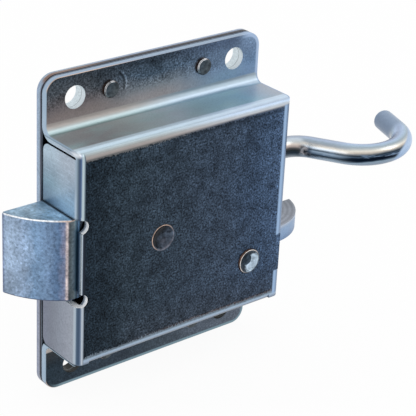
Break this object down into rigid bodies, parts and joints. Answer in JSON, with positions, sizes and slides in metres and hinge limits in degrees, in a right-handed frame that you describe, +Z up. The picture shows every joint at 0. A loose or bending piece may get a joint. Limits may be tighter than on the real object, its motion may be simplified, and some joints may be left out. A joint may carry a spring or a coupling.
{
  "type": "flap lock",
  "caption": "Surface-mounted sprung flap lock in zinc-plated steel: bevelled slam bolt, bent pull hook and thumb release lever in a folded case.",
  "frame": {"origin": "centre of the mounting face at the back, midway between the four screw holes", "axes": "+Z up along the tall side of the plate, +X from the bolt's nose towards the pull hook, -Y out of the front of the case"},
  "size_m": [0.1702, 0.0412, 0.1184],
  "materials": {
    "plate_zinc": "bright zinc plating on 3.2 mm sheet",
    "cover_zinc": "bright zinc plating on folded 2.3 mm sheet",
    "bolt_zinc": "bright zinc plating on a machined bar",
    "rod_zinc": "bright zinc plating on drawn round bar",
    "weld_bead": "zinc plating over a rippled weld",
    "rivet_zinc": "bright zinc plating, hammered ends",
    "post_zinc": "bright zinc plating, turned and hammered end",
    "lever_casting": "zinc plating on a casting, with fine parting marks",
    "bush_bronze": "oiled sintered bronze",
    "washer_steel": "plain pressed steel",
    "sleeve_steel": "ground hardened steel, lightly greased",
    "spring_steel": "oil-tempered wire, lightly greased",
    "saddle_nylon": "black moulded nylon",
    "pin_steel": "ground pin, bright"
  },
  "bodies": {
    "case": {"back_plate": "plate_zinc", "cover": "cover_zinc", "flange_rivet_top_left": "rivet_zinc", "flange_rivet_top_right": "rivet_zinc", "flange_rivet_bottom_left": "rivet_zinc", "flange_rivet_bottom_right": "rivet_zinc", "guide_post": "post_zinc", "guide_sleeve": "sleeve_steel", "lever_pivot_pin": "post_zinc", "pivot_washer_front": "washer_steel", "pivot_washer_rear": "washer_steel", "spring_saddle": "saddle_nylon", "bolt_spring": "spring_steel"},
    "bolt": {"latch_bolt": "bolt_zinc", "spring_guide_pin": "pin_steel", "hook_handle": "rod_zinc", "handle_weld": "weld_bead", "drive_block": "washer_steel", "drive_block_pin": "pin_steel"},
    "lever": {"release_lever": "lever_casting", "pivot_bush": "bush_bronze"}
  },
  "joints": [
    {"name": "bolt_slide", "type": "slide", "parent": "case", "child": "bolt", "axis": [1, 0, 0], "range_m": [0, 0.016], "stiffness_N_per_m": 600, "springref_m": -0.012, "deforming": ["bolt_spring"]},
    {"name": "lever_hinge", "type": "hinge", "parent": "case", "child": "lever", "pos_m": [0.0297, -0.012, -0.0204], "axis": [0, 1, 0], "range_deg": [0, 23.7]}
  ],
  "couplings": [
    {"joint": "lever_hinge", "follows": "bolt_slide", "rad_per_m": 25.85}
  ]
}
